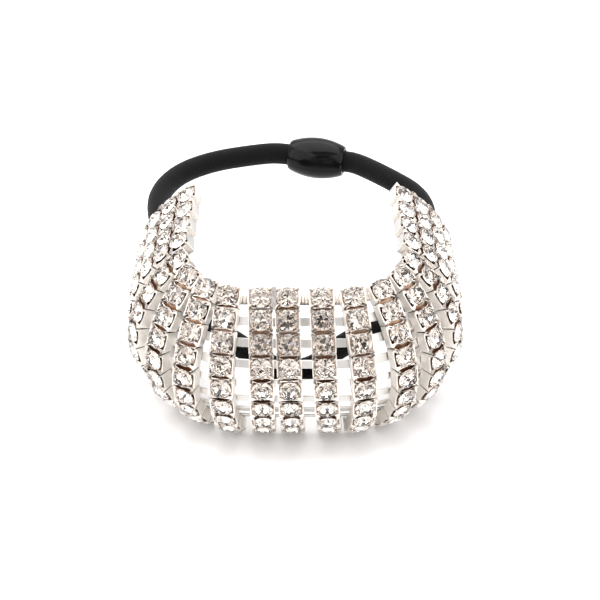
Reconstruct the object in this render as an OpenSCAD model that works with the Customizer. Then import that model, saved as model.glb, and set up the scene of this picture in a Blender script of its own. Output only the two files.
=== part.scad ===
// Rhinestone hair tie: a bulging band of square cup-set stones round the front of a black elastic loop.
// Millimetres, +Z up, the tie resting on the bottom rims of its cups, its front towards -Y.
// The origin is the middle of the foot of the whole tie's bounding box.

/* [Stones and cups] */
// Girdle diameter of one stone, across its corners
stone_dia = 3.68; // [3.4:0.02:3.72]
// Height of the stone's table above the rails' centre line
table_height = 3.25; // [3.1:0.05:3.4]
// Width of a cup across its column
cup_width = 4.45; // [4.2:0.05:4.6]
// Length of a cup's rim along its column
cup_length = 4.1; // [3.95:0.05:4.15]
// Height of a cup's rim above the rails' centre line
rim_height = 2.85; // [2.7:0.05:3]
// Height of a cup's back above the rails' centre line
cup_back = 0.2; // [0.15:0.05:0.24]
// Depth of metal that joins one cup to the next in its column
spine_depth = 0.5; // [0.35:0.05:0.8]
// Diameter of the round seat at a cup's rim
seat_dia = 3.9; // [3.84:0.02:3.96]

/* [Band] */
// Distance from one cup to the next down a column, at the rails
cup_pitch = 3.8; // [3.75:0.05:4]
// Half the width of the band's plan at the top rail
half_width = 20.1; // [19.8:0.1:22]
// Radius of the plan's corners at the top rail
corner_radius = 12; // [11:0.5:13]
// Inward lean of the arms towards the back, in degrees
arm_lean = 4; // [0:0.5:4]
// Height of a rail's flat strip
rail_height = 1.6; // [0.8:0.05:1.8]
// Thickness of a rail's flat strip
rail_thick = 0.5; // [0.44:0.02:0.6]
// Height of the ribbed links between the top cups
link_height = 2.4; // [1.5:0.1:3]

/* [Elastic loop and bead] */
// Diameter of the elastic
elastic_dia = 4.2; // [3.6:0.1:4.4]
// Height of the elastic's middle line below the top rail
elastic_drop = 12.5; // [11:0.5:14]
// Length of the bead
bead_length = 11; // [10:0.5:12]
// Diameter of the bead
bead_dia = 8.2; // [6.5:0.1:8.5]
// Play between the bead's bore and the elastic, all round
bead_play = 0.2; // [0.15:0.05:0.3]

/* [Hidden] */
$fn = 48;

// Angle of each cup's face above the horizontal, from the top row down
tilts = [55, 46, 35, 22, 6, -11, -26, -40, -54];
rows = len(tilts);
widest_row = 4;

// Columns of cups: [place along the top rail from the middle of the front, turn away from facing -Y in degrees,
// lean of the column's foot along the rails in degrees]
columns = [
    [-44.2, -90, 0], [-39.5, -90, 0], [-34.8, -89, 0], [-30.0, -87, 0], [-25.1, -67, 0], [-20.6, -43, 0],
    [-16.1, -26, 0], [-11.8, -11, 1.8], [-6.2, 0, 1], [-1.4, 0, 2.2], [4.8, 0, 3.2], [10.1, 12, 1.2],
    [15.3, 30, 0], [20.3, 46, 0], [25.0, 67, 0], [29.9, 87, 0], [34.8, 89, 0], [39.5, 90, 0], [44.2, 90, 0],
];

// Middle line of the elastic in plan: [x, y behind the front rail, heading in degrees], anticlockwise
loop_nodes = [
    [-0.5, -4.4, 0], [9.0, 3.0, 42], [15.5, 9.5, 55], [22.2, 22.0, 71], [25.1, 42.7, 92], [13.9, 57.8, 142],
    [10.3, 59.72, 168], [-1.7, 62.27, 168], [-5.9, 62.4, 190], [-20.0, 57.6, 213], [-26.7, 44.5, 274],
    [-24.15, 29.0, 280], [-22.5, 21.5, 287], [-14.8, 7.6, 307], [-10.0, 2.5, 316],
];
// The two nodes that the bead lies between
bead_start = loop_nodes[6];
bead_end = loop_nodes[7];

// Seat of a stone: a straight lip below the rim, then a cone down to a small foot
seat_lip = 0.25;
seat_foot = 0.9;
seat_foot_radius = 0.3;

// Heights and shares of the stone's side view
girdle_low = 2.6;
girdle_high = 2.75;
culet_height = 1.15;
culet_half = 0.05;
table_share = 0.56;

// Ribbed link: from its foot to its face above the rails' centre line, its ribs' rise, its bite into the cups
link_foot = 0.3;
link_face = 1;
rib_rise = 0.35;
link_bite = 0.35;

// How far a rail's two ends run past the middles of the last columns
rail_overrun = 1.9;

// Each stretch of elastic stops this far short of its ends, where a collar a hair wider closes the joint
joint_gap = 0.2;
collar_step = 0.02;

// A cup's middle on the rails' centre line: [distance in front of the top rail, height above it]
function rail_point(j) = j == 0 ? [0, 0] : rail_point(j - 1)
    + cup_pitch * [sin((tilts[j] + tilts[j - 1]) / 2), -cos((tilts[j] + tilts[j - 1]) / 2)];
// A point of a row's own frame: a up the column, h out from the rails
function in_row(j, a, h) = rail_point(j)
    + a * [-sin(tilts[j]), cos(tilts[j])] + h * [cos(tilts[j]), sin(tilts[j])];
// The point midway between one row's foot and the next row's head
function between(j, a, h) = (in_row(j, -a, h) + in_row(j + 1, a, h)) / 2;

rim_half = cup_length / 2;
base_half = cup_pitch / 2;
flat_half = stone_dia / 2 * cos(22.5);
table_half = table_share * flat_half;
foot_drop = -in_row(rows - 1, -rim_half, rim_height)[1];
top_rail_z = max([for (c = columns) foot_drop * cos(c[2]) + cup_width / 2 * sin(abs(c[2]))]);

// Plan of the top rail: straight front, round corners, arms
straight_half = half_width - corner_radius;
corner_turn = 90 + arm_lean;
corner_arc = corner_radius * corner_turn * PI / 180;
function corner_point(turn) = [straight_half + corner_radius * sin(turn), corner_radius * (1 - cos(turn))];
function plan_right(d) = d <= straight_half ? [d, 0]
    : d <= straight_half + corner_arc ? corner_point((d - straight_half) / corner_radius * 180 / PI)
    : corner_point(corner_turn) + (d - straight_half - corner_arc) * [cos(corner_turn), sin(corner_turn)];
function plan_point(s) = [sign(s) * plan_right(abs(s))[0], plan_right(abs(s))[1]];

// Directions out of a column's face and along it, and where a row's rail passes behind it, in plan
function out_of(c) = [sin(c[1]), -cos(c[1])];
function along(c) = [cos(c[1]), sin(c[1])];
function rail_plan(c, j) = plan_point(c[0]) + rail_point(j)[0] * out_of(c)
    - rail_point(j)[1] * sin(c[2]) * along(c);

// Middle line of a row's rail in plan, from column to column, its two ends run on past the last ones
function run_on(p, q) = p + rail_overrun * (p - q) / norm(p - q);
function rail_line(p) = let (last = len(p) - 1)
    concat([run_on(p[0], p[1])], [for (i = [1 : last - 1]) p[i]], [run_on(p[last], p[last - 1])]);
// Left-hand normal of the line's piece after point i, and point i moved to the mitred side of the strip
function normal_after(line, i) = [line[i][1] - line[i + 1][1], line[i + 1][0] - line[i][0]]
    / norm(line[i + 1] - line[i]);
function mitred(line, i, side) =
    let (a = normal_after(line, max(i - 1, 0)), b = normal_after(line, min(i, len(line) - 2)))
    line[i] + side * (a + b) / (1 + a * b);

// The bead's middle, heading and side outline: [radius, place along its bore]
bead_middle = ([bead_start[0], bead_start[1]] + [bead_end[0], bead_end[1]]) / 2;
bead_turn = bead_start[2] - 180;
bead_half = bead_length / 2;
bead_radius = bead_dia / 2;
bore_radius = elastic_dia / 2 + bead_play;
bead_end_radius = bead_radius - 1.2;
shoulder_radius = bead_radius - 0.52;
shoulder = bead_half / 3;
bead_outline = [
    [bore_radius, -bead_half], [bead_end_radius, -bead_half], [shoulder_radius, shoulder - bead_half],
    [bead_radius, -bead_half / 5], [bead_radius, bead_half / 5],
    [shoulder_radius, bead_half - shoulder], [bead_end_radius, bead_half], [bore_radius, bead_half],
];

// The shift that centres the whole tie on the origin, front to back, and the elastic's height
front_reach = in_row(widest_row, -table_half, table_height)[0];
back_reach = bead_middle[1] + max([for (p = bead_outline) p[0] * cos(bead_turn) - p[1] * sin(bead_turn)]);
shift = [0, (front_reach - back_reach) / 2, 0];
loop_z = top_rail_z - elastic_drop;

// Side outline of a column: its cups' rims and notches in front, its plain back behind
module column_outline() {
    polygon(concat(
        [in_row(0, base_half, cup_back)],
        [for (j = [0 : rows - 1]) each [
            in_row(j, rim_half, rim_height),
            in_row(j, -rim_half, rim_height),
            j < rows - 1 ? between(j, base_half, cup_back + spine_depth) : in_row(j, -base_half, cup_back)]],
        [for (j = [rows - 2 : -1 : 0]) between(j, base_half, cup_back)]
    ));
}

// Puts a thing drawn in a column's outline plane (x out, y up, z across) into the band
module in_column(c) {
    p = plan_point(c[0]);
    translate([p[0], p[1], top_rail_z]) rotate([0, 0, c[1] - 90]) rotate([90, 0, 0]) rotate([c[2], 0, 0])
        children();
}

// Puts a thing drawn about the +Z axis on the middle of a cup, in the outline plane
module in_cup(j) {
    p = rail_point(j);
    translate([p[0], p[1], 0]) rotate([0, 0, tilts[j]]) rotate([0, 90, 0]) children();
}

module seat() {
    cone_top = rim_height - seat_lip;
    translate([0, 0, cone_top]) cylinder(h = 2 * seat_lip, d = seat_dia);
    translate([0, 0, seat_foot]) cylinder(h = cone_top - seat_foot, r1 = seat_foot_radius, r2 = seat_dia / 2);
}

module column(c) {
    in_column(c) difference() {
        translate([0, 0, -cup_width / 2]) linear_extrude(cup_width) column_outline();
        for (j = [0 : rows - 1]) in_cup(j) seat();
    }
}

// One rail: an upright flat strip that joins the backs of a row's cups
module rail(j) {
    line = rail_line([for (c = columns) rail_plan(c, j)]);
    last = len(line) - 1;
    translate([0, 0, top_rail_z + rail_point(j)[1] - rail_height / 2]) linear_extrude(rail_height)
        polygon(concat(
            [for (i = [0 : last]) mitred(line, i, rail_thick / 2)],
            [for (i = [last : -1 : 0]) mitred(line, i, -rail_thick / 2)]));
}

// A ribbed link that bridges the gap between two top cups
module top_link(a, b) {
    p = rail_plan(a, 0) + cup_width / 2 * along(a);
    q = rail_plan(b, 0) - cup_width / 2 * along(b);
    half = norm(q - p) / 2 + link_bite;
    rib_top = -link_face - rib_rise;
    middle = (p + q) / 2;
    translate([middle[0], middle[1], top_rail_z]) rotate([0, 0, (a[1] + b[1]) / 2]) rotate([-tilts[0], 0, 0])
        translate([0, 0, -link_height / 2]) linear_extrude(link_height) polygon([
            [-half, -link_foot], [-half, -link_face], [-0.75 * half, -link_face], [-0.6 * half, rib_top],
            [-0.4 * half, rib_top], [-0.25 * half, -link_face], [0.25 * half, -link_face], [0.4 * half, rib_top],
            [0.6 * half, rib_top], [0.75 * half, -link_face], [half, -link_face], [half, -link_foot]]);
}

module metal_band() {
    color("Silver") translate(shift) union() {
        for (c = columns) column(c);
        for (j = [0 : rows - 1]) rail(j);
        for (i = [0 : len(columns) - 2]) top_link(columns[i], columns[i + 1]);
    }
}

// A brilliant of eight sides: four turned copies of one side view, cut into each other
module stone_side() {
    rotate([90, 0, 0]) linear_extrude(2 * stone_dia, center = true) polygon([
        [-culet_half, culet_height], [culet_half, culet_height], [flat_half, girdle_low],
        [flat_half, girdle_high], [table_half, table_height], [-table_half, table_height],
        [-flat_half, girdle_high], [-flat_half, girdle_low]]);
}
module stone() {
    intersection() {
        stone_side();
        rotate([0, 0, 45]) stone_side();
        rotate([0, 0, 90]) stone_side();
        rotate([0, 0, 135]) stone_side();
    }
}

module stones() {
    color("AliceBlue") translate(shift) for (c = columns, j = [0 : rows - 1]) in_column(c) in_cup(j) stone();
}

// The loop's middle line runs as two tangent arcs from each node to the next, which meet at their joint
function unit(h) = [cos(h), sin(h)];
function reach(v, t0, t1) = t0 * t1 > 0.99999 ? (v * v) / (4 * (v * t1))
    : (-(v * (t0 + t1)) + sqrt(pow(v * (t0 + t1), 2) + 2 * (1 - t0 * t1) * (v * v))) / (2 * (1 - t0 * t1));
function joint(p, q, t0, t1) = (p + q + (t0 - t1) * reach(q - p, t0, t1)) / 2;
function chord(p, q) = atan2(q[1] - p[1], q[0] - p[0]);
// Turn of the arc that leaves p with heading h and passes q, within half a turn
function turn_of(p, h, q) = 2 * ((((chord(p, q) - h) % 360) + 540) % 360 - 180);

// One stretch of the elastic, straight or an arc, short of its ends
module stretch(p, h, q) {
    turn = turn_of(p, h, q);
    size = abs(turn);
    run = norm(q - p);
    radius = run / 2 / sin(max(size, 0.1) / 2);
    trim = joint_gap / radius * 180 / PI;
    translate([p[0], p[1], 0]) rotate([0, 0, h])
        if (size < 0.1)
            translate([joint_gap, 0, 0]) rotate([0, 90, 0]) cylinder(h = run - 2 * joint_gap, d = elastic_dia);
        else mirror([0, turn > 0 ? 0 : 1, 0]) translate([0, radius, 0]) rotate([0, 0, trim - 90])
            rotate_extrude(angle = size - 2 * trim) translate([radius, 0]) circle(d = elastic_dia);
}
module collar(p, h) {
    translate([p[0], p[1], 0]) rotate([0, 0, h]) rotate([0, 90, 0])
        cylinder(h = 4 * joint_gap, r = elastic_dia / 2 + collar_step, center = true);
}

module elastic_loop() {
    color("DimGray") translate(shift + [0, 0, loop_z]) union() {
        for (i = [0 : len(loop_nodes) - 1]) {
            a = loop_nodes[i];
            b = loop_nodes[(i + 1) % len(loop_nodes)];
            p = [a[0], a[1]];
            q = [b[0], b[1]];
            m = joint(p, q, unit(a[2]), unit(b[2]));
            m_heading = a[2] + turn_of(p, a[2], m);
            stretch(p, a[2], m);
            stretch(m, m_heading, q);
            collar(p, a[2]);
            collar(m, m_heading);
        }
    }
}

// Barrel bead with a straight bore, threaded on the back of the loop
module loop_bead() {
    color("Black") translate(shift + [bead_middle[0], bead_middle[1], loop_z])
        rotate([0, 0, bead_turn]) rotate([0, 90, 0]) rotate_extrude() polygon(bead_outline);
}

metal_band();
stones();
elastic_loop();
loop_bead();
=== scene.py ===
"""Rhinestone hair tie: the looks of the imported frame, seen as in the photograph.

Shapes are worked out in millimetres and turned to metres as each mesh is finished. +Z is up, the tie
rests on the floor at z 0, and its front is towards -Y.
"""

from __future__ import annotations

import logging
import random
from collections.abc import Iterable, Mapping, Sequence
from dataclasses import dataclass
from enum import Enum, IntEnum
from math import atan, atan2, copysign, cos, degrees, pi, radians, sin, sqrt, tan, tau
from typing import Any

import bmesh
import bpy
from bmesh.types import BMEdge, BMesh, BMFace, BMVert
from bpy.types import ID, Material, Mesh, Node, NodeSocket, NodeTree, Object
from mathutils import Matrix, Vector

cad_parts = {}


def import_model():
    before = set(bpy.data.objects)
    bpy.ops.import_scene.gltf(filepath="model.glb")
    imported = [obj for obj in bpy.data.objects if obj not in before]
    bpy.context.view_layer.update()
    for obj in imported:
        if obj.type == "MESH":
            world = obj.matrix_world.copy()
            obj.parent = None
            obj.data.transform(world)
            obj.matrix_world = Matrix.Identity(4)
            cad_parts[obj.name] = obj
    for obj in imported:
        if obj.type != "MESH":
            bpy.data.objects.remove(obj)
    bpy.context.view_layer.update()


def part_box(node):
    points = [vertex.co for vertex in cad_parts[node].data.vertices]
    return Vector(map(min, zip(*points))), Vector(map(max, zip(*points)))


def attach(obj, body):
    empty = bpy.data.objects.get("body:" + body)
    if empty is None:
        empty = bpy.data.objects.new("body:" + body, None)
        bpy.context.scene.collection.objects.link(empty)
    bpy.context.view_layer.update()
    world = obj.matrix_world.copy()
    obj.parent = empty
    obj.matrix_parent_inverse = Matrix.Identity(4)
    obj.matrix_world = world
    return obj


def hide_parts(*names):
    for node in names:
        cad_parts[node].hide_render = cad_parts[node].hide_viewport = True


log = logging.getLogger("hair_tie")

MM = 0.001
IMAGE_PIXELS = 600
SENSOR_MM = 36.0
# How far the elastic's middle line runs below the top rail, in millimetres
LOOP_DROP = 12.5
# Arcs that turn less than this many radians are taken as straight
STRAIGHT = 1e-4


def linear(hex_colour: str) -> tuple[float, float, float, float]:
    """Turns an sRGB hex colour to the linear RGBA that the shaders use.

    Args:
        hex_colour: Six hex digits after a hash sign.

    Returns:
        Red, green, blue and an alpha of 1.
    """
    channels = [int(hex_colour[i:i + 2], 16) / 255 for i in (1, 3, 5)]
    red, green, blue = (c / 12.92 if c <= 0.04045 else ((c + 0.055) / 1.055) ** 2.4 for c in channels)
    return red, green, blue, 1.0


def add_node(
    tree: NodeTree, kind: str, inputs: Mapping[str | int, Any] | None = None, **settings: Any
) -> Node:
    """Adds a node with its links and settings.

    Args:
        tree: The node tree.
        kind: Blender's type name of the node.
        inputs: For each input, by name or number, a value or the output socket that feeds it.
        settings: The node's own properties by name.

    Returns:
        The new node.
    """
    node = tree.nodes.new(kind)
    for name, value in settings.items():
        setattr(node, name, value)
    for key, value in (inputs or {}).items():
        if isinstance(value, NodeSocket):
            tree.links.new(value, node.inputs[key])
        else:
            node.inputs[key].default_value = value
    return node


def per_mm(size: float) -> float:
    """Texture scale on Object coordinates that repeats once in so many millimetres."""
    return 1 / (size * MM)


def verts_of(items: Iterable[Any]) -> list[BMVert]:
    """Picks the vertices from what a bmesh operator made."""
    return [item for item in items if isinstance(item, BMVert)]


def faces_of(items: Iterable[Any]) -> list[BMFace]:
    """Picks the faces from what a bmesh operator made."""
    return [item for item in items if isinstance(item, BMFace)]


def edges_among(items: Iterable[Any], verts: Sequence[BMVert]) -> list[BMEdge]:
    """Picks the edges that run between some vertices from what a bmesh operator made."""
    edges = [item for item in items if isinstance(item, BMEdge)]
    return [edge for edge in edges if all(vert in verts for vert in edge.verts)]


def direction(angle: float) -> Vector:
    """The level unit vector that is turned from +X by an angle in radians."""
    return Vector((cos(angle), sin(angle), 0.0))


def rise(height: float) -> Vector:
    """The vector straight up by a height."""
    return Vector((0.0, 0.0, height))


def bevel_sharp(bm: BMesh, edges: Iterable[BMEdge], over: float, offset: float, segments: int) -> None:
    """Bevels those edges at which faces turn by more than so many degrees."""
    sharp = [edge for edge in edges if edge.calc_face_angle(0.0) > radians(over)]
    bmesh.ops.bevel(bm, geom=sharp, offset=offset, offset_type="OFFSET", segments=segments,
                    profile=0.5, affect="EDGES", material=-1)


def to_mesh(bm: BMesh, name: str, finishes: Iterable[Finish]) -> Mesh:
    """Turns a bmesh into a mesh with materials, and frees it.

    Args:
        bm: The shape, with each face's material_index counting through the finishes.
        name: The mesh's name.
        finishes: The finishes that it wears.

    Returns:
        The mesh.
    """
    mesh = bpy.data.meshes.new(name)
    bm.to_mesh(mesh)
    bm.free()
    for finish in finishes:
        mesh.materials.append(finish.material())
    return mesh


def place_object(name: str, data: ID, frame: Matrix | None = None) -> Object:
    """Places an object in the scene.

    Args:
        name: Its name.
        data: Its mesh, camera or light.
        frame: Where it stands in the world, or None to leave it unturned at the origin.

    Returns:
        The object.
    """
    placed = bpy.data.objects.new(name, data)
    if frame is not None:
        placed.matrix_world = frame
    bpy.context.scene.collection.objects.link(placed)
    return placed


def finish_mesh(
    bm: BMesh,
    name: str,
    finishes: Iterable[Finish],
    node: str,
    sharp_degrees: float | None = 35.0,
) -> Object:
    """Makes the finished piece from a bmesh in millimetres, and ties it to the frame.

    Args:
        bm: The shape, which is freed.
        name: The piece's name.
        finishes: The finishes that the piece wears.
        node: The CAD node that the piece stands for.
        sharp_degrees: Faces that meet at more than this keep a crisp edge, and None leaves all flat.

    Returns:
        The piece.
    """
    bmesh.ops.scale(bm, vec=(MM, MM, MM), verts=bm.verts)
    for face in bm.faces:
        face.smooth = sharp_degrees is not None
    if sharp_degrees is not None:
        limit = radians(sharp_degrees)
        for edge in bm.edges:
            edge.smooth = edge.calc_face_angle(pi) < limit
    piece = place_object(name, to_mesh(bm, name, finishes))
    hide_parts(node)
    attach(piece, "root")
    log.info("%s: %d faces", name, len(piece.data.polygons))
    return piece


class Finish:
    """A finish: a real material and how its surface was made."""

    name: str

    def material(self) -> Material:
        """Makes the finish's material the first time that it is asked for.

        Returns:
            The material.
        """
        found = bpy.data.materials.get(self.name)
        if found:
            return found
        material = bpy.data.materials.new(self.name)
        material.use_nodes = True
        tree = material.node_tree
        tree.nodes.clear()
        shader = add_node(tree, "ShaderNodeBsdfPrincipled", self.surface(tree))
        add_node(tree, "ShaderNodeOutputMaterial", {"Surface": shader.outputs["BSDF"]})
        return material

    def surface(self, tree: NodeTree) -> dict[str, Any]:
        """What feeds the shader, by input; each finish has its own."""
        raise NotImplementedError


@dataclass(frozen=True)
class BrightSilverPlate(Finish):
    """Barrel-polished silver plate on brass: warm white, with soft reflections that are a little uneven."""

    name: str = "bright_silver_plate"
    clean: str = "#E7E1DB"
    dull: str = "#CAC1B8"
    roughness: float = 0.24
    # How much rougher than that the dull places are, and how much smoother the clean ones
    haze: float = 0.1
    polish: float = 0.06
    ripple_mm: float = 1.1
    dent_mm: float = 0.04

    def surface(self, tree: NodeTree) -> dict[str, Any]:
        """Ripples that tint, dull and dent the plate.

        Args:
            tree: The material's node tree.

        Returns:
            What feeds the shader, by input.
        """
        place = add_node(tree, "ShaderNodeTexCoord").outputs["Object"]
        ripple = add_node(tree, "ShaderNodeTexNoise", {
            "Vector": place, "Scale": per_mm(self.ripple_mm), "Detail": 3.0, "Roughness": 0.6})
        tint = add_node(tree, "ShaderNodeMix", {
            0: ripple.outputs["Fac"], 6: linear(self.dull), 7: linear(self.clean)}, data_type="RGBA")
        gloss = add_node(tree, "ShaderNodeMapRange", {
            "Value": ripple.outputs["Fac"], "From Min": 0.3, "From Max": 0.7,
            "To Min": self.roughness + self.haze, "To Max": self.roughness - self.polish})
        dents = add_node(tree, "ShaderNodeBump", {
            "Height": ripple.outputs["Fac"], "Distance": self.dent_mm * MM, "Strength": 1.0})
        return {
            "Base Color": tint.outputs[2], "Metallic": 1.0, "Roughness": gloss.outputs["Result"],
            "Normal": dents.outputs["Normal"]}


@dataclass(frozen=True)
class RolledStrip(Finish):
    """Silver-plated rolled strip: neutral white, smooth, with a soft mirror along it."""

    name: str = "plated_rolled_strip"
    body: str = "#DBD9D6"
    roughness: float = 0.3

    def surface(self, tree: NodeTree) -> dict[str, Any]:
        """One even metal."""
        return {"Base Color": linear(self.body), "Metallic": 1.0, "Roughness": self.roughness}


@dataclass(frozen=True)
class BareBrass(Finish):
    """Stamped brass where the plate ran thin or wore off: brown, with coppery glints."""

    name: str = "thinly_plated_brass"
    bright: str = "#B8987F"
    dark: str = "#775A47"
    roughness: float = 0.34
    stain_mm: float = 1.1

    def surface(self, tree: NodeTree) -> dict[str, Any]:
        """Stains over the metal.

        Args:
            tree: The material's node tree.

        Returns:
            What feeds the shader, by input.
        """
        place = add_node(tree, "ShaderNodeTexCoord").outputs["Object"]
        stain = add_node(tree, "ShaderNodeTexNoise", {
            "Vector": place, "Scale": per_mm(self.stain_mm), "Detail": 2.0})
        tint = add_node(tree, "ShaderNodeMix", {
            0: stain.outputs["Fac"], 6: linear(self.dark), 7: linear(self.bright)}, data_type="RGBA")
        return {"Base Color": tint.outputs[2], "Metallic": 1.0, "Roughness": self.roughness}


@dataclass(frozen=True)
class CutCrystal(Finish):
    """Machine-cut lead-free crystal glass: clear, with sharp facets."""

    name: str = "cut_crystal_glass"
    body: str = "#FFFDF9"
    roughness: float = 0.01
    ior: float = 1.54

    def surface(self, tree: NodeTree) -> dict[str, Any]:
        """Clear glass."""
        return {"Base Color": linear(self.body), "Roughness": self.roughness, "IOR": self.ior,
                "Transmission Weight": 1.0}


@dataclass(frozen=True)
class SilverFoil(Finish):
    """Vacuum-deposited silver foil on the back of a stone: a mirror that sends the light back out."""

    name: str = "vacuum_silver_foil"
    pale: str = "#ECE8E4"
    rosy: str = "#DFD8D4"
    roughness: float = 0.03
    patch_mm: float = 3.0

    def surface(self, tree: NodeTree) -> dict[str, Any]:
        """A mirror with rosy patches.

        Args:
            tree: The material's node tree.

        Returns:
            What feeds the shader, by input.
        """
        place = add_node(tree, "ShaderNodeTexCoord").outputs["Object"]
        patch = add_node(tree, "ShaderNodeTexNoise", {"Vector": place, "Scale": per_mm(self.patch_mm)})
        tint = add_node(tree, "ShaderNodeMix", {
            0: patch.outputs["Fac"], 6: linear(self.rosy), 7: linear(self.pale)}, data_type="RGBA")
        return {"Base Color": tint.outputs[2], "Metallic": 1.0, "Roughness": self.roughness}


@dataclass(frozen=True)
class BraidedElastic(Finish):
    """Polyester braid over latex cord: matte near-black, with fine crossed threads and a little fuzz."""

    name: str = "braided_polyester_elastic"
    thread: str = "#0F0E10"
    gap: str = "#070707"
    # The real threads are about 0.25 mm wide, too fine to show, so they are drawn twice as coarse
    thread_mm: float = 0.5
    crossing_degrees: float = 50.0
    relief_mm: float = 0.05

    def surface(self, tree: NodeTree) -> dict[str, Any]:
        """Two crossed sets of threads, on a UV map in centimetres along and round the cord.

        Args:
            tree: The material's node tree.

        Returns:
            What feeds the shader, by input.
        """
        place = add_node(tree, "ShaderNodeUVMap", uv_map="braid").outputs["UV"]
        # A wave texture at scale 1 repeats 20 times in each tau units
        waves_per_cm = tau / 20 * 10 / self.thread_mm
        waves = []
        for turn in (self.crossing_degrees, -self.crossing_degrees):
            turned = add_node(tree, "ShaderNodeMapping", {
                "Vector": place, "Rotation": (0.0, 0.0, radians(turn))})
            wave = add_node(tree, "ShaderNodeTexWave", {
                "Vector": turned.outputs["Vector"], "Scale": waves_per_cm,
                "Distortion": 1.2, "Detail": 1.0, "Detail Scale": 2.0}, wave_profile="SIN")
            waves.append(wave.outputs["Fac"])
        braid = add_node(tree, "ShaderNodeMath", {0: waves[0], 1: waves[1]}, operation="MULTIPLY")
        tint = add_node(tree, "ShaderNodeMix", {
            0: braid.outputs["Value"], 6: linear(self.gap), 7: linear(self.thread)}, data_type="RGBA")
        relief = add_node(tree, "ShaderNodeBump", {
            "Height": braid.outputs["Value"], "Distance": self.relief_mm * MM, "Strength": 1.0})
        return {
            "Base Color": tint.outputs[2], "Roughness": 0.95, "Specular IOR Level": 0.18,
            "Sheen Weight": 0.08, "Sheen Roughness": 0.5, "Normal": relief.outputs["Normal"]}


@dataclass(frozen=True)
class MouldedAbs(Finish):
    """Polished black ABS: wet-looking gloss with faint flow marks from the mould."""

    name: str = "moulded_black_abs"
    body: str = "#060607"
    flow: str = "#0B0B0E"
    flow_mm: float = 5.0
    haze: tuple[float, float] = (0.08, 0.22)

    def surface(self, tree: NodeTree) -> dict[str, Any]:
        """Flow marks that tint and haze the gloss.

        Args:
            tree: The material's node tree.

        Returns:
            What feeds the shader, by input.
        """
        place = add_node(tree, "ShaderNodeTexCoord").outputs["Object"]
        flow = add_node(tree, "ShaderNodeTexNoise", {"Vector": place, "Scale": per_mm(self.flow_mm)})
        tint = add_node(tree, "ShaderNodeMix", {
            0: flow.outputs["Fac"], 6: linear(self.body), 7: linear(self.flow)}, data_type="RGBA")
        haze = add_node(tree, "ShaderNodeMapRange", {
            "Value": flow.outputs["Fac"], "To Min": self.haze[0], "To Max": self.haze[1]})
        return {
            "Base Color": tint.outputs[2], "Roughness": haze.outputs["Result"], "Specular IOR Level": 0.16}


@dataclass(frozen=True)
class WhitePaper(Finish):
    """Seamless photo paper: plain matte white."""

    name: str = "seamless_white_paper"
    sheet: str = "#FCFCFC"

    def surface(self, tree: NodeTree) -> dict[str, Any]:
        """One even white."""
        return {"Base Color": linear(self.sheet), "Roughness": 0.9, "Specular IOR Level": 0.1}


@dataclass(frozen=True)
class Column:
    """One column of cups: its place along the top rail, its turn from facing -Y and its foot's lean."""

    place: float
    turn: float
    lean: float = 0.0


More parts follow.
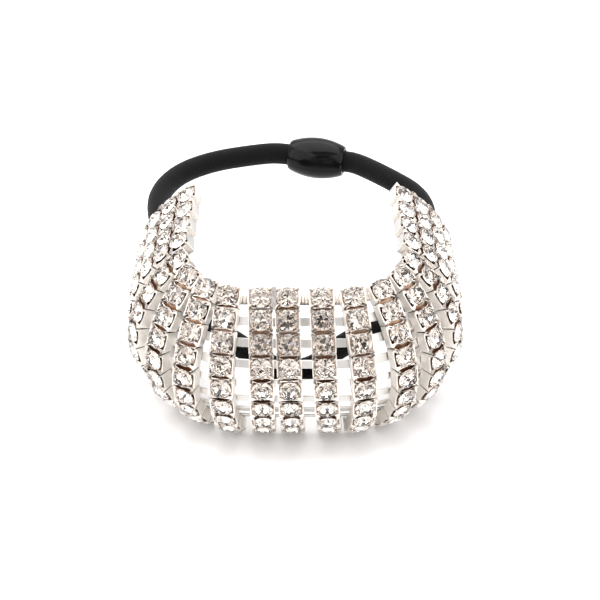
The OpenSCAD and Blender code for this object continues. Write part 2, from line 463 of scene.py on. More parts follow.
@dataclass
class BandPlan:
    """Where the band's columns, cups and rails are, from the same sizes as the part's source."""

    # Angle of each row of cups above the horizontal, from the top row down
    tilts: tuple[float, ...] = (55, 46, 35, 22, 6, -11, -26, -40, -54)
    columns: tuple[Column, ...] = (
        Column(-44.2, -90), Column(-39.5, -90), Column(-34.8, -89), Column(-30.0, -87), Column(-25.1, -67),
        Column(-20.6, -43), Column(-16.1, -26), Column(-11.8, -11, 1.8), Column(-6.2, 0, 1),
        Column(-1.4, 0, 2.2), Column(4.8, 0, 3.2), Column(10.1, 12, 1.2), Column(15.3, 30), Column(20.3, 46),
        Column(25.0, 67), Column(29.9, 87), Column(34.8, 89), Column(39.5, 90), Column(44.2, 90),
    )
    cup_pitch: float = 3.8
    cup_width: float = 4.45
    cup_length: float = 4.1
    rim_height: float = 2.85
    half_width: float = 20.1
    corner_radius: float = 12.0
    arm_lean: float = 4.0
    widest_row: int = 4
    table_half: float = 0.952
    table_height: float = 3.25
    shift: float = 0.0

    def settle(self, stones_front: float) -> None:
        """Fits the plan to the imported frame.

        Args:
            stones_front: The y of the foremost stone in the frame, in millimetres.
        """
        self.shift = stones_front + self.in_row(self.widest_row, -self.table_half, self.table_height).x

    def rail_point(self, row: int) -> Vector:
        """Where a row's rail is, in the side view of a column.

        Args:
            row: The row, from the top.

        Returns:
            The distance in front of the top rail and the height above it.
        """
        point = Vector((0.0, 0.0))
        for upper, lower in zip(self.tilts[:row], self.tilts[1:row + 1]):
            mean = radians((upper + lower) / 2)
            point += self.cup_pitch * Vector((sin(mean), -cos(mean)))
        return point

    def in_row(self, row: int, up: float, out: float) -> Vector:
        """A point of a row's own frame, in the side view of a column.

        Args:
            row: The row, from the top.
            up: Distance up the column from the cup's middle.
            out: Distance out from the rail's middle line.

        Returns:
            The distance in front of the top rail and the height above it.
        """
        tilt = radians(self.tilts[row])
        return self.rail_point(row) + Vector((
            out * cos(tilt) - up * sin(tilt), up * cos(tilt) + out * sin(tilt)))

    def end_reach(self, row: int, way: int, height: float) -> float:
        """How far up or down its column a cup's end wall reaches at a height above the rail.

        Args:
            row: The row, from the top.
            way: 1 for the cup's upper end and -1 for its lower end.
            height: Distance out from the rail's middle line.

        Returns:
            The distance from the cup's middle, where its neighbour's wall meets it, or the free end's.
        """
        other = row - way
        if not 0 <= other < len(self.tilts):
            share = height / self.rim_height
            return self.cup_pitch / 2 + share * (self.cup_length - self.cup_pitch) / 2
        bend = radians(abs(self.tilts[other] - self.tilts[row]) / 2)
        return self.cup_pitch / 2 / cos(bend) + height * tan(bend)

    @property
    def top_rail_z(self) -> float:
        """Works out how high the top rail is, so that the lowest cup's rim touches the floor.

        Returns:
            The height of its middle line above the floor.
        """
        drop = -self.in_row(len(self.tilts) - 1, -self.cup_length / 2, self.rim_height).y
        leans = [radians(column.lean) for column in self.columns]
        return max(drop * cos(lean) + self.cup_width / 2 * sin(abs(lean)) for lean in leans)

    def plan_point(self, place: float) -> Vector:
        """Walks along the top rail: straight, round the corner and up the arm.

        Args:
            place: Distance from the middle of the front, below 0 towards -X.

        Returns:
            The plan point.
        """
        straight = min(abs(place), self.half_width - self.corner_radius)
        turn = radians(90 + self.arm_lean)
        bent = min((abs(place) - straight) / self.corner_radius, turn)
        arm = abs(place) - straight - bent * self.corner_radius
        x = straight + self.corner_radius * sin(bent) + arm * cos(turn)
        y = self.corner_radius * (1 - cos(bent)) + arm * sin(turn)
        return Vector((copysign(x, place), y + self.shift))

    def outward(self, column: int) -> Vector:
        """The plan direction in which a column faces."""
        turn = radians(self.columns[column].turn)
        return Vector((sin(turn), -cos(turn), 0.0))

    def upward(self, column: int) -> Vector:
        """The direction up a column, which leans where its foot is to one side."""
        lean = Matrix.Rotation(radians(self.columns[column].lean), 3, self.outward(column))
        return lean @ rise(1.0)

    def rail_place(self, column: int, row: int) -> Vector:
        """Where a row's rail passes behind a column.

        Args:
            column: The column, from -X.
            row: The row, from the top.

        Returns:
            The point of the rail's middle line.
        """
        point = self.rail_point(row)
        top = self.plan_point(self.columns[column].place).to_3d() + rise(self.top_rail_z)
        return top + point.x * self.outward(column) + point.y * self.upward(column)

    def cup_frame(self, column: int, row: int) -> Matrix:
        """The frame of one cup: x across its column, y up it, z out of its face.

        Args:
            column: The column, from -X.
            row: The row, from the top.

        Returns:
            The frame, about the rail's middle line.
        """
        out = self.outward(column)
        up = self.upward(column)
        tilt = radians(self.tilts[row])
        axes = Matrix((up.cross(out), up * cos(tilt) - out * sin(tilt),
                       out * cos(tilt) + up * sin(tilt))).transposed()
        return Matrix.Translation(self.rail_place(column, row)) @ axes.to_4x4()


class Wall(Enum):
    """Which wall of a cup a face belongs to."""

    OTHER = 0
    UPPER = 1
    LOWER = 2
    SIDE = 3
    POCKET = 4


class CupFinish(IntEnum):
    """The finishes of a cup's faces, in the order of the piece's materials; two of them are painted shade and
    one painted light.
    """

    BRIGHT = 0
    BARE = 1
    PAINTED_LIGHT_SATIN = 2
    PAINTED_SHADE = 3
    PAINTED_DEEP_SHADE = 4
    ROLLED = 5


@dataclass
class CupSetting:
    """A square cup stamped from sheet, its low sides between four corner claws that hold the stone."""

    plan: BandPlan
    # Directions of a quarter's vertices in degrees, close together at the corner for a narrow claw
    directions: tuple[float, ...] = (0.0, 21.0, 32.0, 38.0, 45.0, 52.0, 58.0, 69.0)
    base_squareness: float = 40.0
    rim_squareness: float = 14.0
    base_half_x: float = 2.2
    base_half_y: float = 1.9
    rim_half_x: float = 2.22
    base_z: float = 0.22
    side_z: float = 2.36
    end_z: float = 2.4
    sheet: float = 0.18
    lip: float = 0.02
    # How near a wall's plane the middles of its faces lie, and half the width of an end wall's own faces
    wall_slack: float = 0.1
    bare_half_x: float = 1.2
    # A claw is where the sine of twice the direction is over this
    claw_start: float = 0.97
    claw_z: float = 2.84
    claw_tip_z: float = 2.98
    claw_tip_radius: float = 1.76
    seat_radius: float = 1.84
    seat_z: float = 2.25
    # A cup is as stamped up to this far from its middle, and from there it follows its neighbours more and
    # more, up to this share
    kept_half_y: float = 1.1
    most_share: float = 1.1
    # How far short of the plane between two cups each of them ends
    seam: float = 0.03
    # The slit between two cups: half its width, and how deep each of its two walls may bow in
    slit_half_x: float = 1.7
    bow: tuple[float, float] = (0.03, 0.5)
    # How much deeper the walls bow in a column that is turned right away, where the chain bends out
    spread: float = 0.35
    # The strip that joins two cups, at the foot of their slit: its height and half its size
    bridge_z: float = 1.45
    bridge_half_x: float = 1.6
    bridge_half_y: float = 0.4
    # How far the corners fall back at a column's two free ends
    free_end_round: float = 0.4
    # How likely a corner of a cup that is turned right away gets a pocket floor in deeper painted shade, for
    # the shade one sees deeper into it
    deep_shade_share: float = 0.8
    bow_seed: int = 4
    deep_shade_seed: int = 12

    def claw(self, angle: float) -> float:
        """How far a direction from the cup's middle lies on a claw, from 0 to 1."""
        return max((abs(sin(2 * angle)) - self.claw_start) / (1 - self.claw_start), 0.0)

    def square(self, angle: float, half_x: float, half_y: float, z: float, squareness: float) -> Vector:
        """A point of a rounded rectangle about the cup's middle.

        Args:
            angle: Direction from the middle, before the rectangle's own proportions.
            half_x: Half its width.
            half_y: Half its length.
            z: Its height.
            squareness: How sharp its corners are; 2 is round.

        Returns:
            The point.
        """
        c, s = cos(angle), sin(angle)
        reach = (abs(c) ** squareness + abs(s) ** squareness) ** (-1 / squareness)
        return Vector((half_x * reach * c, half_y * reach * s, z))

    def rim_z(self, angle: float) -> float:
        """Height of the rim in a direction: low on the sides, hardly more on the ends, high at the claws."""
        low = self.side_z + (self.end_z - self.side_z) * sin(angle) ** 2
        return low + (self.claw_z - low) * self.claw(angle)

    def outer_base(self, angle: float) -> Vector:
        """The foot of the outer wall."""
        return self.square(angle, self.base_half_x, self.base_half_y, self.base_z, self.base_squareness)

    def outer_rim(self, angle: float) -> Vector:
        """The top of the outer wall."""
        return self.square(angle, self.rim_half_x, self.base_half_y, self.rim_z(angle), self.rim_squareness)

    def inner_rim(self, angle: float) -> Vector:
        """The inner edge of the rim, which the claws carry over the stone.

        Args:
            angle: Direction from the cup's middle.

        Returns:
            The point.
        """
        wall = self.square(angle, self.rim_half_x - self.sheet, self.base_half_y - self.sheet,
                           self.rim_z(angle) + self.lip, self.rim_squareness)
        tip = direction(angle) * self.claw_tip_radius + rise(self.claw_tip_z)
        return wall.lerp(tip, self.claw(angle))

    def seat(self, angle: float) -> Vector:
        """The seat under the stone's girdle."""
        return direction(angle) * self.seat_radius + rise(self.seat_z)

    def template(self, bm: BMesh) -> list[BMVert]:
        """Builds one cup about the origin.

        Args:
            bm: The bmesh to build in, with an integer face layer called wall.

        Returns:
            The cup's vertices.
        """
        place = bm.verts.layers.int.new("place")
        steps = len(self.directions)
        segments = 4 * steps
        ring = bmesh.ops.create_circle(bm, segments=segments, radius=1.0, cap_ends=True)["verts"]
        for vert in ring:
            vert[place] = round(atan2(vert.co.y, vert.co.x) / tau * segments) % segments
        made = list(ring)
        edges = list({edge for vert in ring for edge in vert.link_edges})
        for number, profile in enumerate((self.outer_base, self.outer_rim, self.inner_rim, self.seat)):
            if number:
                grown = bmesh.ops.extrude_edge_only(bm, edges=edges)["geom"]
                ring = verts_of(grown)
                made += ring
                edges = edges_among(grown, ring)
            for vert in ring:
                quarter, step = divmod(vert[place], steps)
                vert.co = profile(radians(90 * quarter + self.directions[step]))
        bmesh.ops.recalc_face_normals(bm, faces=bm.faces)
        layer = bm.faces.layers.int["wall"]
        pocket = made[-2 * segments:]
        for face in bm.faces:
            middle = face.calc_center_median()
            at_end = abs(middle.y) > self.base_half_y - self.wall_slack and abs(middle.x) < self.bare_half_x
            if self.base_z < middle.z < self.end_z and at_end:
                face[layer] = (Wall.UPPER if middle.y > 0 else Wall.LOWER).value
            elif self.base_z < middle.z and abs(middle.x) > self.base_half_x - self.wall_slack:
                face[layer] = Wall.SIDE.value
            elif all(vert in pocket for vert in face.verts):
                face[layer] = Wall.POCKET.value
        return made

    def finish_of(self, wall: Wall, row: int, deep_shaded: bool) -> CupFinish:
        """The finish of a face.

        Args:
            wall: The wall that it belongs to.
            row: The cup's row.
            deep_shaded: Whether this corner of the cup's pocket floor gets the deeper painted shade.

        Returns:
            The finish.
        """
        # Pocket floors are painted shade: a darker plate for the shade down beside the stone, darker still in
        # the corners picked for it
        if wall is Wall.POCKET:
            return CupFinish.PAINTED_DEEP_SHADE if deep_shaded else CupFinish.PAINTED_SHADE
        # Side walls wear a rougher plate painted lighter: painted light, for walls that face the neighbouring
        # columns and the floor's shadow
        if wall is Wall.SIDE:
            return CupFinish.PAINTED_LIGHT_SATIN
        if wall is Wall.OTHER:
            return CupFinish.BRIGHT
        free_row = 0 if wall is Wall.UPPER else len(self.plan.tilts) - 1
        return CupFinish.ROLLED if row == free_row else CupFinish.BARE

    def fit(self, verts: Iterable[BMVert], column: int, row: int, bows: Mapping[int, float]) -> None:
        """Draws a cup's ends out to meet its neighbours at the corners, and bows them in between.

        Args:
            verts: The cup's vertices, about the origin.
            column: The cup's column.
            row: The cup's row.
            bows: How deep the upper (1) and lower (-1) end walls bow in.
        """
        free_end_round = self.free_end_round * cos(radians(self.plan.columns[column].turn))
        for vert in verts:
            way = 1 if vert.co.y > 0 else -1
            share = (abs(vert.co.y) - self.kept_half_y) / (self.base_half_y - self.kept_half_y)
            grow = self.plan.end_reach(row, way, vert.co.z) - self.seam - self.base_half_y
            if 0 <= row - way < len(self.plan.tilts):
                climb = min(max(vert.co.z - self.base_z, 0.0) / (self.end_z - self.base_z), 1.0)
                give = bows[way] * climb * max(1 - (vert.co.x / self.slit_half_x) ** 4, 0.0)
            else:
                give = free_end_round * abs(vert.co.x / self.base_half_x) ** 3
            vert.co.y += way * min(max(share, 0.0), self.most_share) * (grow - give)

    def bridge(self, bm: BMesh, column: int, row: int) -> None:
        """Lays the strip that joins a cup to the one above it.

        Args:
            bm: The bmesh to build in.
            column: The cup's column.
            row: The cup's row, not the top one.
        """
        reach = self.plan.end_reach(row, 1, self.bridge_z)
        size = Matrix.Diagonal((2 * self.bridge_half_x, 2 * self.bridge_half_y, self.sheet, 1.0))
        place = self.plan.cup_frame(column, row) @ Matrix.Translation((0.0, reach, self.bridge_z)) @ size
        strip = bmesh.ops.create_cube(bm, size=1.0, matrix=place)["verts"]
        for face in {face for vert in strip for face in vert.link_faces}:
            face.material_index = CupFinish.BARE

    def build(self) -> Object:
        """Builds every cup of the band as one piece.

        Returns:
            The piece.
        """
        bm = bmesh.new()
        layer = bm.faces.layers.int.new("wall")
        model = self.template(bm)
        pattern = list({face for vert in model for face in vert.link_faces})
        chance = random.Random(self.bow_seed)
        deep_shade_chance = random.Random(self.deep_shade_seed)
        for column in range(len(self.plan.columns)):
            turned = sin(radians(min(abs(self.plan.columns[column].turn), 90.0)))
            for row in range(len(self.plan.tilts)):
                copy = bmesh.ops.duplicate(bm, geom=pattern)["geom"]
                verts = verts_of(copy)
                # Picks the corners whose pocket floors get the deeper painted shade, more often in cups
                # turned away from the camera
                deep_shaded = [deep_shade_chance.random() < self.deep_shade_share * turned for _ in range(4)]
                for face in faces_of(copy):
                    middle = face.calc_center_median()
                    quarter = 2 * int(middle.x > 0) + int(middle.y > 0)
                    face.material_index = self.finish_of(Wall(face[layer]), row, deep_shaded[quarter])
                bows = {way: chance.uniform(*self.bow) + self.spread * turned for way in (1, -1)}
                self.fit(verts, column, row, bows)
                bmesh.ops.transform(bm, matrix=self.plan.cup_frame(column, row), verts=verts)
                if row > 0:
                    self.bridge(bm, column, row)
        bmesh.ops.delete(bm, geom=pattern, context="FACES")
        finishes = {
            CupFinish.BRIGHT: BrightSilverPlate(),
            CupFinish.BARE: BareBrass(),
            # Painted light on the side walls: the same plate, rougher and painted lighter than it is
            CupFinish.PAINTED_LIGHT_SATIN: BrightSilverPlate("satin_plate_painted_light", "#FFFCF8", "#F3EEE8", 0.48),
            # Painted shade on the pocket floors: the plate darkened for the shade down beside the stones
            CupFinish.PAINTED_SHADE: BareBrass("cup_floor_painted_shade", "#E2D3C4", "#A98F7A"),
            # Deeper painted shade on the pocket floors of the picked corners of cups that are turned away
            CupFinish.PAINTED_DEEP_SHADE: BareBrass("cup_floor_painted_deep_shade", "#7A5A45", "#3A261A"),
            CupFinish.ROLLED: RolledStrip(),
        }
        return finish_mesh(bm, "cup_chains", finishes.values(), "metal_band")


@dataclass
class Brilliant:
    """A round brilliant: table, eight stars, eight mains and sixteen halves over a foiled pavilion."""

    plan: BandPlan
    radius: float = 1.94
    girdle_low: float = 2.6
    girdle_high: float = 2.76
    table_z: float = 3.25
    table_corner: float = 1.08
    star_slope: float = 0.3
    culet_z: float = 0.95
    lower_half_slope: float = 0.94
    # The angle between two main facets, and how far a stone leans at most
    step_degrees: float = 45.0
    lean_degrees: float = 4.0
    # The foil covers the facets whose normals point further down than this
    foil_below: float = -0.2
    seed: int = 9

    def cut(self, bm: BMesh, azimuth: float, radius: float, z: float, slope: float) -> None:
        """Grinds one facet.

        Args:
            bm: The stone.
            azimuth: The facet's direction in degrees.
            radius: Distance from the axis of a point that the facet's plane passes.
            z: Height of that point.
            slope: Fall of the facet outwards, for the crown, or minus its rise for the pavilion.
        """
        out = direction(radians(azimuth))
        normal = (out * abs(slope) + rise(copysign(1.0, slope))).normalized()
        point = out * radius + rise(z)
        geom = list(bm.verts) + list(bm.edges) + list(bm.faces)
        cut = bmesh.ops.bisect_plane(bm, geom=geom, dist=1e-5, plane_co=point, plane_no=normal,
                                     clear_outer=True)
        rim = [item for item in cut["geom_cut"] if isinstance(item, BMEdge)]
        bmesh.ops.contextual_create(bm, geom=rim)

    def template(self) -> BMesh:
        """Cuts one stone from a sixteen-sided rod about the +Z axis.

        Returns:
            The stone.
        """
        bm = bmesh.new()
        height = self.table_z - self.culet_z
        bmesh.ops.create_cone(
            bm, cap_ends=True, segments=16, radius1=self.radius, radius2=self.radius, depth=height,
            matrix=Matrix.Translation(rise(self.culet_z + height / 2)))
        flat = self.radius * cos(pi / 16)
        star_radius = self.table_corner * cos(pi / 8)
        main_slope = (self.table_z - self.girdle_high) / (self.radius - self.table_corner)
        tip = (main_slope * self.table_corner - self.star_slope * star_radius) \
            / (main_slope * cos(pi / 8) - self.star_slope)
        tip_z = self.table_z - self.star_slope * (tip - star_radius)
        half_slope = (tip_z - self.girdle_high) / (flat - tip * cos(pi / 16))
        main_pavilion = (self.girdle_low - self.culet_z) / self.radius
        for eighth in range(8):
            azimuth = self.step_degrees * eighth
            self.cut(bm, azimuth, self.radius, self.girdle_high, main_slope)
            self.cut(bm, azimuth + self.step_degrees / 2, star_radius, self.table_z, self.star_slope)
            self.cut(bm, azimuth, self.radius, self.girdle_low, -main_pavilion)
        for sixteenth in range(16):
            azimuth = self.step_degrees / 2 * (sixteenth + 0.5)
            self.cut(bm, azimuth, flat, self.girdle_high, half_slope)
            self.cut(bm, azimuth, flat, self.girdle_low, -self.lower_half_slope)
        bmesh.ops.recalc_face_normals(bm, faces=bm.faces)
        for face in bm.faces:
            face.material_index = int(face.normal.z < self.foil_below)
        return bm

    def build(self) -> Object:
        """Sets a stone in every cup, each turned its own way and leaning a little.

        Returns:
            The piece.
        """
        chance = random.Random(self.seed)
        bm = self.template()
        pattern = list(bm.faces)
        seat = rise(self.girdle_low)
        for column in range(len(self.plan.columns)):
            for row in range(len(self.plan.tilts)):
                verts = verts_of(bmesh.ops.duplicate(bm, geom=pattern)["geom"])
                turn = Matrix.Rotation(radians(chance.uniform(0.0, self.step_degrees)), 4, "Z")
                lean = Matrix.Rotation(radians(chance.uniform(0.0, self.lean_degrees)), 4,
                                       Vector((chance.uniform(-1, 1), chance.uniform(-1, 1), 0.001)))
                loose = Matrix.Translation(seat) @ lean @ Matrix.Translation(-seat) @ turn
                bmesh.ops.transform(bm, matrix=self.plan.cup_frame(column, row) @ loose, verts=verts)
        bmesh.ops.delete(bm, geom=pattern, context="FACES")
        finishes = [CutCrystal(), SilverFoil()]
        return finish_mesh(bm, "foiled_brilliants", finishes, "stones", sharp_degrees=None)


@dataclass
class Rails:
    """Nine flat strips that join the backs of the columns, one behind each row."""

    plan: BandPlan
    height: float = 1.6
    thickness: float = 0.36
    end_run: float = 1.9
    edge_round: float = 0.08
    # Edges that bend by more than this are the strips' long edges and ends
    edge_degrees: float = 60.0

    def build(self) -> Object:
        """Builds the strips as one piece.

        Returns:
            The piece.
        """
        bm = bmesh.new()
        last = len(self.plan.columns) - 1
        for row, angle in enumerate(self.plan.tilts):
            tilt = radians(angle)
            line = [self.plan.rail_place(column, row) for column in range(last + 1)]
            line[0] += self.end_run * (line[0] - line[1]).normalized()
            line[last] += self.end_run * (line[last] - line[last - 1]).normalized()
            frames = []
            for i, point in enumerate(line):
                before = (point - line[max(i - 1, 0)] or line[1] - point).normalized()
                after = (line[min(i + 1, last)] - point or point - line[last - 1]).normalized()
                left = Vector((-before.y, before.x, 0.0))
                other = Vector((-after.y, after.x, 0.0))
                mitre = -(left + other) / (1 + left.dot(other))
                axes = Matrix(((before + after).normalized(), rise(cos(tilt)) - mitre * sin(tilt),
                               mitre * cos(tilt) + rise(sin(tilt)))).transposed()
                frames.append(Matrix.Translation(point) @ axes.to_4x4())
            self.strip(bm, frames)
        bmesh.ops.recalc_face_normals(bm, faces=bm.faces)
        bevel_sharp(bm, bm.edges, self.edge_degrees, self.edge_round, 1)
        return finish_mesh(bm, "flat_rails", [RolledStrip()], "metal_band")

    def strip(self, bm: BMesh, frames: Sequence[Matrix]) -> None:
        """Sweeps one strip.

        Args:
            bm: The bmesh to build in.
            frames: The frame of each cross-section, x along the strip.
        """
        side = bmesh.ops.create_grid(bm, x_segments=1, y_segments=1, size=0.5)["verts"]
        flat = Matrix(((0, 0, 1, 0), (self.height, 0, 0, 0), (0, self.thickness, 0, 0), (0, 0, 0, 1)))
        bmesh.ops.transform(bm, matrix=frames[0] @ flat, verts=side)
        face = side[0].link_faces[0]
        for before, after in zip(frames, frames[1:]):
            grown = bmesh.ops.extrude_face_region(bm, geom=[face])["geom"]
            if before is not frames[0]:
                bmesh.ops.delete(bm, geom=[face], context="FACES_ONLY")
            bmesh.ops.transform(bm, matrix=after @ before.inverted(), verts=verts_of(grown))
            face = faces_of(grown)[0]


@dataclass
class TopLinks:
    """What bridges the gaps between the top cups: short coils of wire, or a filled joint where they touch."""

    plan: BandPlan
    # A gap under this is filled by a joint: how far it reaches into the cups, how far short of flush it
    # stays, and its lower and upper heights
    joint_limit: float = 0.7
    joint_overlap: float = 0.3
    joint_recess: float = 0.04
    joint_low: float = 0.25
    joint_high: float = 2.5
    wire_radius: float = 0.3
    # The round of the wire's ends, as a share of its radius, for edges that bend by more than this
    end_round: float = 0.6
    cap_degrees: float = 80.0
    turn_pitch: float = 0.62
    height: float = 1.5
    out: float = 1.1
    bite: float = 0.3
    sides: int = 10

    def build(self) -> Object:
        """Builds the coils as one piece, each turn an upright rounded bar.

        Returns:
            The piece.
        """
        bm = bmesh.new()
        for column in range(len(self.plan.columns) - 1):
            left = self.plan.cup_frame(column, 0)
            right = self.plan.cup_frame(column + 1, 0)
            start = left @ Vector((self.plan.cup_width / 2 - self.bite, 0.0, self.out))
            end = right @ Vector((self.bite - self.plan.cup_width / 2, 0.0, self.out))
            axis = (left.col[1].to_3d() + right.col[1].to_3d()).normalized()
            gap = (end - start).length - 2 * self.bite
            if gap < self.joint_limit:
                self.joint(bm, left, right)
                continue
            turns = max(round((gap + 2 * self.bite) / self.turn_pitch), 1)
            turn = rise(1.0).rotation_difference(axis).to_matrix().to_4x4()
            for i in range(turns):
                place = Matrix.Translation(start.lerp(end, (i + 0.5) / turns)) @ turn
                bar = bmesh.ops.create_cone(
                    bm, cap_ends=True, segments=self.sides, radius1=self.wire_radius,
                    radius2=self.wire_radius, depth=self.height, matrix=place)["verts"]
                edges = {edge for vert in bar for edge in vert.link_edges}
                bevel_sharp(bm, edges, self.cap_degrees, self.wire_radius * self.end_round, 2)
        return finish_mesh(bm, "top_link_coils", [BrightSilverPlate()], "metal_band",
                           sharp_degrees=50.0)

    def joint(self, bm: BMesh, left: Matrix, right: Matrix) -> None:
        """Fills the narrow gap between two top cups, just short of flush with their walls.

        Args:
            bm: The bmesh to build in.
            left: The frame of the cup before the gap.
            right: The frame of the cup after it.
        """
        for vert in bmesh.ops.create_cube(bm, size=1.0)["verts"]:
            frame = left if vert.co.x < 0 else right
            inset = copysign(self.plan.cup_width / 2 - self.joint_overlap, -vert.co.x)
            height = self.joint_low if vert.co.z < 0 else self.joint_high
            reach = self.plan.end_reach(0, 1, height) - self.joint_recess
            vert.co = frame @ Vector((inset, copysign(reach, vert.co.y), height))


@dataclass(frozen=True)
class Arc:
    """One stretch of the loop's middle line: its start, its heading there, and the turn and length of it."""

    start: Vector
    heading: float
    turn: float
    length: float


@dataclass
class ElasticLoop:
    """The elastic: a closed round cord whose middle line runs through given points and headings."""

    plan: BandPlan
    radius: float = 2.1
    # Each node of the middle line: x, distance behind the front rail, and heading in degrees
    nodes: tuple[tuple[float, float, float], ...] = (
        (-0.5, -4.4, 0), (9.0, 3.0, 42), (15.5, 9.5, 55), (22.2, 22.0, 71), (25.1, 42.7, 92),
        (13.9, 57.8, 142), (10.3, 59.72, 168), (-1.7, 62.27, 168), (-5.9, 62.4, 190), (-20.0, 57.6, 213),
        (-26.7, 44.5, 274), (-24.15, 29.0, 280), (-22.5, 21.5, 287), (-14.8, 7.6, 307), (-10.0, 2.5, 316),
    )
    bead_node: int = 6
    sides: int = 24
    step_mm: float = 1.0
    # Under this, two headings count as parallel, and under that, two vertices as one
    parallel_limit: float = 2e-5
    merge: float = 0.01

    @property
    def z(self) -> float:
        """Height of the cord's middle line."""
        return self.plan.top_rail_z - LOOP_DROP

    def arcs(self) -> list[Arc]:
        """The two arcs between each pair of nodes, starting inside the bead, which hides the joint.

        Returns:
            The arcs in order.
        """
        found = []
        count = len(self.nodes)
        for i in range(count):
            a = self.nodes[(i + self.bead_node + 1) % count]
            b = self.nodes[(i + self.bead_node + 2) % count]
            p, q = Vector(a[:2]), Vector(b[:2])
            t0, t1 = (direction(radians(node[2])).to_2d() for node in (a, b))
            v, t = q - p, t0 + t1
            spread = 2 * (1 - t0.dot(t1))
            if spread < self.parallel_limit:
                reach = v.dot(v) / (4 * v.dot(t1))
            else:
                reach = (-v.dot(t) + sqrt(v.dot(t) ** 2 + spread * v.dot(v))) / spread
            joint = (p + q + (t0 - t1) * reach) / 2
            first = self.arc(p, a[2], joint)
            found += [first, self.arc(joint, a[2] + first.turn, q)]
        return found

    def arc(self, start: Vector, heading: float, end: Vector) -> Arc:
        """The arc that leaves a point with a heading and passes another.

        Args:
            start: The point that it leaves.
            heading: Its direction there in degrees.
            end: The point that it passes.

        Returns:
            The arc, up to that point.
        """
        chord = end - start
        half = (degrees(atan2(chord.y, chord.x)) - heading + 540) % 360 - 180
        bend = radians(abs(half))
        length = chord.length * (bend / sin(bend) if bend > STRAIGHT else 1.0)
        return Arc(start, heading, 2 * half, length)

    def build(self) -> Object:
        """Sweeps the cord along its arcs, with a UV map in centimetres along and round it.

        Returns:
            The piece.
        """
        bm = bmesh.new()
        run = bm.verts.layers.float.new("run")
        around = bm.verts.layers.float.new("around")
        arcs = self.arcs()
        heading = radians(arcs[0].heading)
        lift = Vector((0.0, self.plan.shift, self.z))
        place = Matrix.Translation(arcs[0].start.to_3d() + lift) @ Matrix.Rotation(heading, 4, "Z") \
            @ Matrix.Rotation(pi / 2, 4, "Y")
        ring = bmesh.ops.create_circle(bm, segments=self.sides, radius=self.radius)["verts"]
        for vert in ring:
            vert[around] = (atan2(vert.co.y, vert.co.x) / tau) % 1.0
        bmesh.ops.transform(bm, matrix=place, verts=ring)
        edges = list(bm.edges)
        total = 0.0
        for arc in arcs:
            steps = max(round(arc.length / self.step_mm), 1)
            bend = radians(arc.turn)
            heading = radians(arc.heading)
            side = Vector((-sin(heading), cos(heading), 0.0))
            for _ in range(steps):
                total += arc.length / steps
                if abs(bend) < STRAIGHT:
                    grown = bmesh.ops.extrude_edge_only(bm, edges=edges)["geom"]
                    along = direction(heading) * (arc.length / steps)
                    bmesh.ops.translate(bm, vec=along, verts=verts_of(grown))
                else:
                    centre = arc.start.to_3d() + lift + side * (arc.length / bend)
                    source = edges + list({vert for edge in edges for vert in edge.verts})
                    grown = bmesh.ops.spin(
                        bm, geom=source, cent=centre, axis=(0.0, 0.0, 1.0), dvec=(0.0, 0.0, 0.0),
                        angle=bend / steps, steps=1, use_merge=False)["geom_last"]
                verts = verts_of(grown)
                edges = edges_among(grown, verts)
                for vert in verts:
                    vert[run] = total
        bmesh.ops.remove_doubles(bm, verts=bm.verts, dist=self.merge)
        bmesh.ops.recalc_face_normals(bm, faces=bm.faces)
        self.lay_uv(bm, total)
        return finish_mesh(bm, "elastic_cord", [BraidedElastic()], "elastic_loop",
                           sharp_degrees=60.0)

    def lay_uv(self, bm: BMesh, total: float) -> None:
        """Writes the UV map from the two vertex layers, unbroken over both seams.

        Args:
            bm: The swept cord.
            total: The length of its middle line.
        """
        run = bm.verts.layers.float["run"]
        around = bm.verts.layers.float["around"]
        braid = bm.loops.layers.uv.new("braid")
        girth = tau * self.radius
        mm_per_unit = 10
        for face in bm.faces:
            low_run = max(vert[run] for vert in face.verts) - total / 2
            low_around = max(vert[around] for vert in face.verts) - 0.5
            for loop in face.loops:
                u = loop.vert[run] + (total if loop.vert[run] < low_run else 0.0)
                v = loop.vert[around] + (1.0 if loop.vert[around] < low_around else 0.0)
                loop[braid].uv = (u / mm_per_unit, v * girth / mm_per_unit)


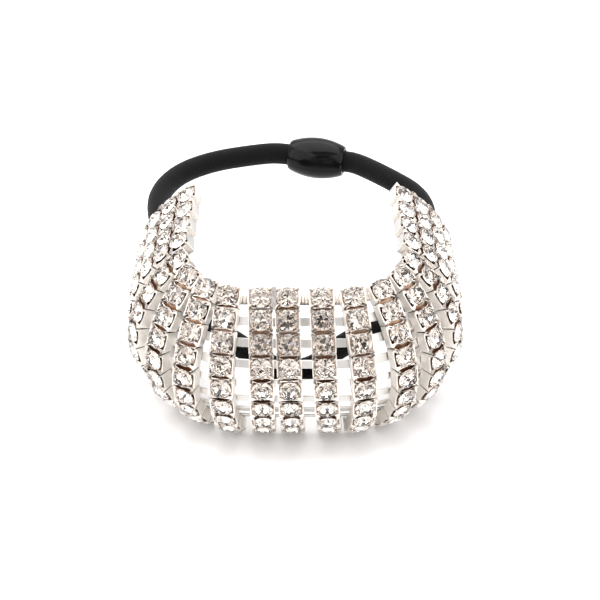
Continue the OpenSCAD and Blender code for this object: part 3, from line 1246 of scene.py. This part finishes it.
@dataclass
class BarrelBead:
    """The moulded barrel bead that hides the elastic's joint: two half shells with a fine seam."""

    loop: ElasticLoop
    length: float = 11.0
    radius: float = 4.1
    bore: float = 2.32
    # How much thinner the bead is at its ends, and the small round of its end edges
    taper: float = 1.2
    edge_round: float = 0.12
    outline_steps: int = 9
    lip: float = 0.16
    # How far in from each end the bore goes on
    bore_shown: float = 1.2
    steps: int = 96
    seam_depth: float = 0.07
    # A vertex this near the seam's plane lies on it, and two this near each other are one
    on_seam: float = 1e-3
    merge: float = 1e-4

    def build(self) -> Object:
        """Spins the outline and lays it on the straight stretch of the cord.

        Returns:
            The piece.
        """
        bm = bmesh.new()
        half = self.length / 2
        shares = [step / self.outline_steps for step in range(self.outline_steps)]
        side = [(share * half, self.radius - self.taper * share ** 2) for share in shares]
        end_radius = self.radius - self.taper
        side += [(half - self.edge_round, end_radius), (half, end_radius - self.edge_round)]
        end = [(half, self.bore + self.lip), (half - self.lip, self.bore),
               (half - self.bore_shown, self.bore)]
        profile = [(-x, r) for x, r in reversed(end)] + [(-x, r) for x, r in reversed(side[1:])] + side + end
        verts = [bm.verts.new((x, 0.0, r)) for x, r in profile]
        edges = [bm.edges.new(pair) for pair in zip(verts, verts[1:])]
        bmesh.ops.spin(
            bm, geom=verts + edges, cent=(0.0, 0.0, 0.0), axis=(1.0, 0.0, 0.0), dvec=(0.0, 0.0, 0.0),
            angle=tau, steps=self.steps, use_merge=True)
        bmesh.ops.remove_doubles(bm, verts=bm.verts, dist=self.merge)
        for vert in bm.verts:
            if abs(vert.co.z) < self.on_seam and abs(vert.co.y) > self.bore + self.lip:
                vert.co.y -= copysign(self.seam_depth, vert.co.y)
        bmesh.ops.recalc_face_normals(bm, faces=bm.faces)
        a, b = (self.loop.nodes[self.loop.bead_node + i] for i in (0, 1))
        middle = Vector(((a[0] + b[0]) / 2, (a[1] + b[1]) / 2 + self.loop.plan.shift, self.loop.z))
        place = Matrix.Translation(middle) @ Matrix.Rotation(radians(a[2] - 180), 4, "Z")
        bmesh.ops.transform(bm, matrix=place, verts=bm.verts)
        return finish_mesh(bm, "barrel_bead", [MouldedAbs()], "loop_bead", sharp_degrees=30.0)


@dataclass(frozen=True)
class Softbox:
    """A square light that faces the tie: its middle and its side in metres, and its power in watts."""

    name: str
    place: tuple[float, float, float]
    side: float
    watts: float


@dataclass
class Studio:
    """White paper, soft light all round and the camera at the photograph's angle."""

    plan: BandPlan
    elevation: float = 40.0
    distance: float = 500.0
    lens: float = 165.0
    # Where the point on the loop's level over the front rail falls in the photograph, in pixels
    target_pixel: tuple[float, float] = (295.4, 354.9)
    floor_size: float = 4.0
    # The lights face this point over the paper, in metres
    lit_point: tuple[float, float, float] = (0.0, 0.0, 0.01)
    softboxes: tuple[Softbox, ...] = (
        Softbox("top_softbox", (-0.1, 0.4, 1.0), 1.5, 16.0),
        Softbox("left_softbox", (-0.9, -0.5, 0.7), 1.3, 8.0),
        Softbox("right_softbox", (0.9, -0.5, 0.7), 1.3, 8.0),
    )
    # The room's brightness off and on its brighter patches, and the share of it left in the dark blots
    room_light: tuple[float, float] = (0.9, 1.35)
    blot_light: float = 0.08
    # The blots fade in between these angles from the camera, in degrees
    blot_degrees: tuple[float, float] = (60.0, 45.0)

    @property
    def toward_camera(self) -> Vector:
        """The direction from the tie to the camera."""
        angle = radians(self.elevation)
        return Vector((0.0, -cos(angle), sin(angle)))

    def camera(self) -> None:
        """Sets up the camera, aimed a little over the target so that no shift is needed."""
        data = bpy.data.cameras.new("camera")
        data.lens = self.lens
        data.sensor_width = SENSOR_MM
        data.clip_start = 0.01
        target = Vector((0.0, self.plan.shift, self.plan.top_rail_z - LOOP_DROP)) * MM
        place = target + self.toward_camera * self.distance * MM
        focal = self.lens / SENSOR_MM * IMAGE_PIXELS
        right = atan((IMAGE_PIXELS / 2 - self.target_pixel[0]) / focal)
        up = atan((self.target_pixel[1] - IMAGE_PIXELS / 2) / focal)
        aim = (target - place).to_track_quat("-Z", "Y").to_matrix().to_4x4()
        turn = Matrix.Rotation(-right, 4, "Y") @ Matrix.Rotation(up, 4, "X")
        bpy.context.scene.camera = place_object("camera", data, Matrix.Translation(place) @ aim @ turn)

    def floor(self) -> None:
        """Lays the paper."""
        bm = bmesh.new()
        bmesh.ops.create_grid(bm, x_segments=1, y_segments=1, size=self.floor_size / 2)
        floor = place_object("paper_floor", to_mesh(bm, "paper_floor", [WhitePaper()]))

    def light(self, softbox: Softbox) -> None:
        """Hangs a softbox.

        Args:
            softbox: Its place, side and power.
        """
        data = bpy.data.lights.new(softbox.name, "AREA")
        data.shape = "SQUARE"
        data.size = softbox.side
        data.energy = softbox.watts
        spot = Vector(softbox.place)
        aim = (Vector(self.lit_point) - spot).to_track_quat("-Z", "Y").to_matrix().to_4x4()
        place_object(softbox.name, data, Matrix.Translation(spot) @ aim)

    def world(self) -> None:
        """A white room with brighter patches for the facets, and dark blots on the camera's side."""
        world = bpy.data.worlds.new("studio")
        bpy.context.scene.world = world
        world.use_nodes = True
        tree = world.node_tree
        tree.nodes.clear()
        place = add_node(tree, "ShaderNodeTexCoord").outputs["Generated"]
        patches = add_node(tree, "ShaderNodeTexNoise", {"Vector": place, "Scale": 4.0, "Detail": 1.0})
        room = add_node(tree, "ShaderNodeMapRange", {
            "Value": patches.outputs["Fac"], "From Min": 0.4, "From Max": 0.58,
            "To Min": self.room_light[0], "To Max": self.room_light[1]}, interpolation_type="SMOOTHSTEP")
        toward = add_node(tree, "ShaderNodeVectorMath", {0: place, 1: self.toward_camera},
                          operation="DOT_PRODUCT")
        near = add_node(tree, "ShaderNodeMapRange", {
            "Value": toward.outputs["Value"], "From Min": cos(radians(self.blot_degrees[0])),
            "From Max": cos(radians(self.blot_degrees[1]))}, interpolation_type="SMOOTHSTEP")
        blots = add_node(tree, "ShaderNodeTexNoise", {"Vector": place, "Scale": 9.0, "Detail": 0.0})
        black = add_node(tree, "ShaderNodeMapRange", {
            "Value": blots.outputs["Fac"], "From Min": 0.49, "From Max": 0.52},
            interpolation_type="SMOOTHSTEP")
        hidden = add_node(tree, "ShaderNodeMath", {
            0: near.outputs["Result"], 1: black.outputs["Result"]}, operation="MULTIPLY")
        dark = add_node(tree, "ShaderNodeMapRange", {
            "Value": hidden.outputs["Value"], "To Min": 1.0, "To Max": self.blot_light})
        strength = add_node(tree, "ShaderNodeMath", {
            0: room.outputs["Result"], 1: dark.outputs["Result"]}, operation="MULTIPLY")
        casts = add_node(tree, "ShaderNodeTexNoise", {"Vector": place, "Scale": 7.0})
        tint = add_node(tree, "ShaderNodeMapRange", {
            "Value": casts.outputs["Fac"], "From Min": 0.42, "From Max": 0.58},
            interpolation_type="SMOOTHSTEP")
        colour = add_node(tree, "ShaderNodeMix", {
            0: tint.outputs["Result"], 6: linear("#FFF8EC"), 7: linear("#F3F4FF")}, data_type="RGBA")
        sky = add_node(tree, "ShaderNodeBackground", {
            "Color": colour.outputs[2], "Strength": strength.outputs["Value"]})
        add_node(tree, "ShaderNodeOutputWorld", {"Surface": sky.outputs["Background"]})

    def build(self) -> None:
        """Sets up camera, floor and light."""
        bpy.context.scene.view_settings.view_transform = "Standard"
        self.camera()
        self.floor()
        self.world()
        for softbox in self.softboxes:
            self.light(softbox)


def main() -> None:
    """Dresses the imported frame."""
    logging.basicConfig(level=logging.INFO, format="%(name)s: %(message)s")
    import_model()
    plan = BandPlan()
    plan.settle(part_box("stones")[0][1] / MM)
    log.info("plan shifted by %.3f mm", plan.shift)
    Studio(plan).build()
    CupSetting(plan).build()
    Brilliant(plan).build()
    Rails(plan).build()
    TopLinks(plan).build()
    loop = ElasticLoop(plan)
    loop.build()
    BarrelBead(loop).build()


if __name__ == "__main__":
    main()
